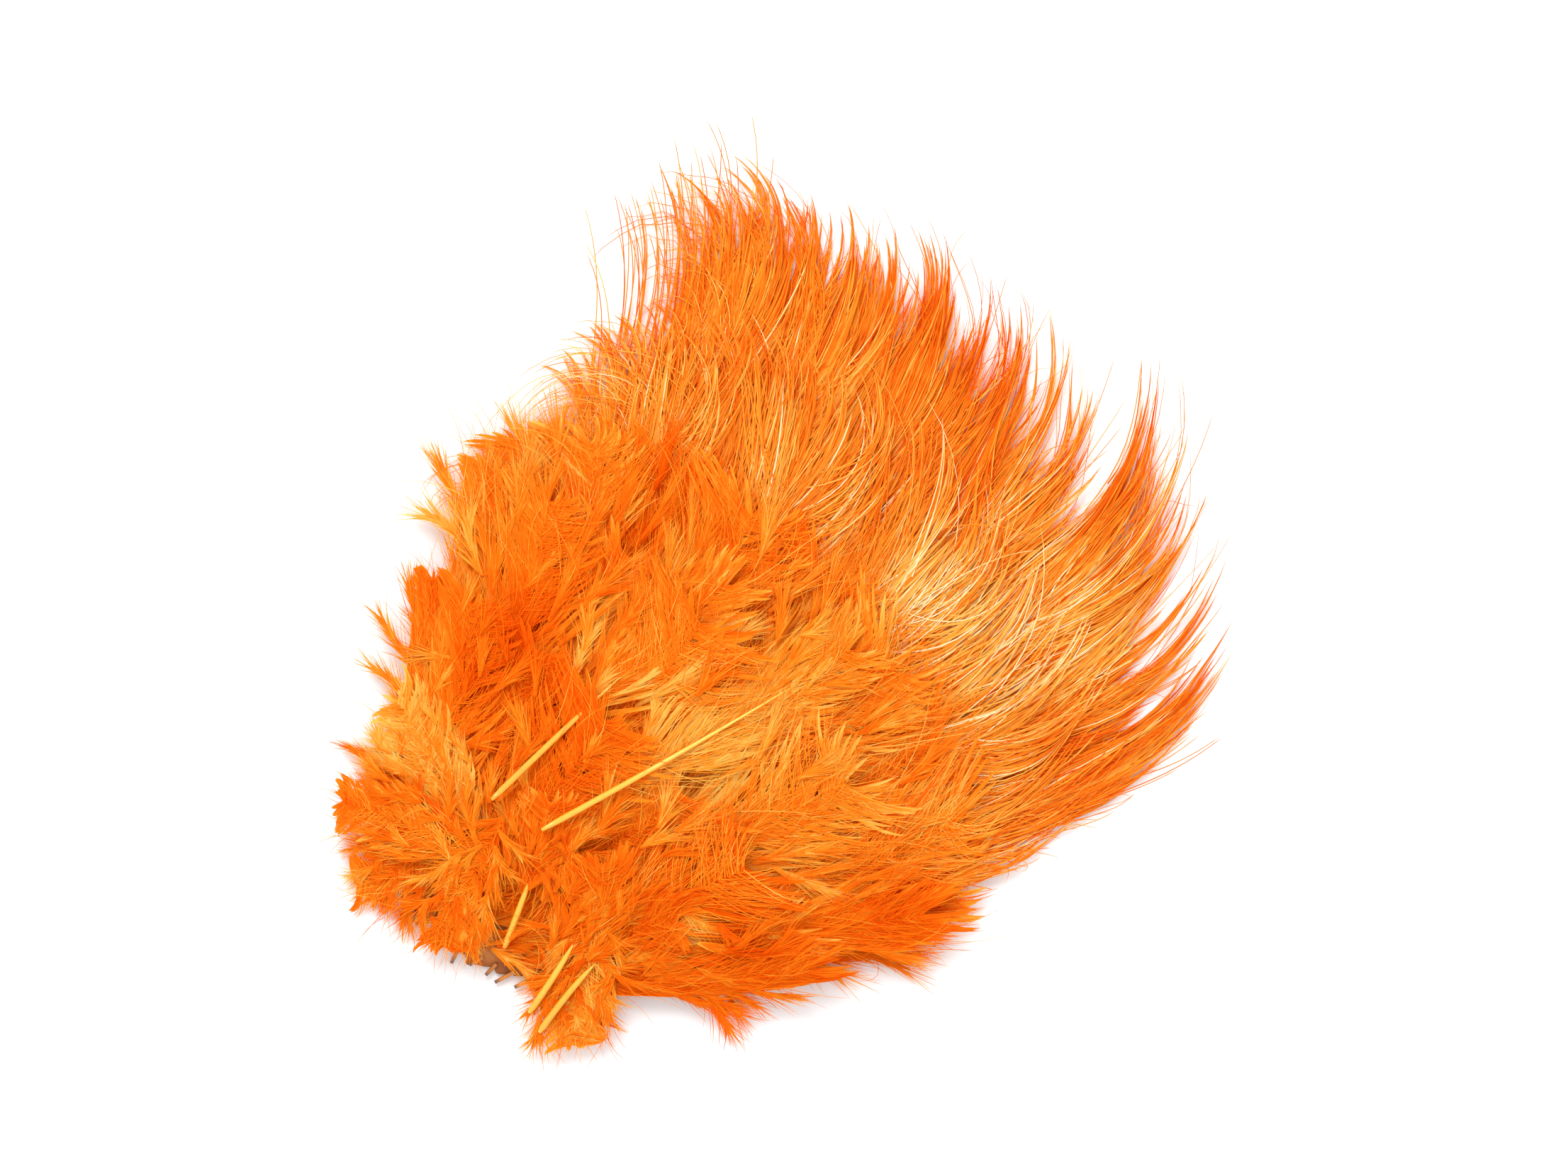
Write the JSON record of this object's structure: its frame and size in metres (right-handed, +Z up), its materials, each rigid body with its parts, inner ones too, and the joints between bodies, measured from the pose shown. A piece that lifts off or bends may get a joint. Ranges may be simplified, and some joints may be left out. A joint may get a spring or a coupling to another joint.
{
  "type": "pheasant rump patch",
  "caption": "A flat fan of dyed pheasant rump feathers growing from a piece of hide, downy at the quill ends and with a long hair-like fringe.",
  "frame": {"origin": "on the surface that it lies on, under the middle of its box", "axes": "+Y from the quill ends to the feather tips, +X to the right as seen from above, +Z up, away from the hide"},
  "size_m": [0.1062, 0.1308, 0.0191],
  "materials": {
    "fringe": "glossy parallel barbs like hair",
    "down": "matt fluffy barbs",
    "hide": "dry dyed skin"
  },
  "bodies": {
    "root": {"back_down_feather_01": "down", "back_down_feather_02": "down", "back_down_feather_03": "down", "back_down_feather_04": "down", "back_down_feather_05": "down", "back_down_feather_06": "down", "back_down_feather_07": "down", "back_down_feather_08": "down", "back_down_feather_09": "down", "fringe_feather_01": "fringe", "fringe_feather_02": "fringe", "fringe_feather_03": "fringe", "fringe_feather_04": "fringe", "fringe_feather_05": "fringe", "fringe_feather_06": "fringe", "fringe_feather_07": "fringe", "fringe_feather_08": "fringe", "fringe_feather_09": "fringe", "fringe_feather_10": "fringe", "fringe_feather_11": "fringe", "fringe_feather_12": "fringe", "fringe_feather_13": "fringe", "fringe_feather_14": "fringe", "front_down_feather_01": "down", "front_down_feather_02": "down", "front_down_feather_03": "down", "front_down_feather_04": "down", "front_down_feather_05": "down", "front_down_feather_06": "down", "front_down_feather_07": "down", "front_down_feather_08": "down", "front_tuft_1": "down", "front_tuft_2": "down", "front_tuft_3": "down", "front_tuft_4": "down", "front_tuft_5": "down", "front_tuft_6": "down", "front_tuft_7": "down", "front_tuft_8": "down", "hide": "hide", "mid_down_feather_01": "down", "mid_down_feather_02": "down", "mid_down_feather_03": "down", "mid_down_feather_04": "down", "mid_down_feather_05": "down", "mid_down_feather_06": "down", "mid_down_feather_07": "down", "mid_down_feather_08": "down", "middle_feather_01": "fringe", "middle_feather_02": "fringe", "middle_feather_03": "fringe", "middle_feather_04": "fringe", "middle_feather_05": "fringe", "middle_feather_06": "fringe", "middle_feather_07": "fringe", "middle_feather_08": "fringe", "middle_feather_09": "fringe", "middle_feather_10": "fringe", "top_feather_1": "down", "top_feather_2": "down"}
  },
  "joints": []
}
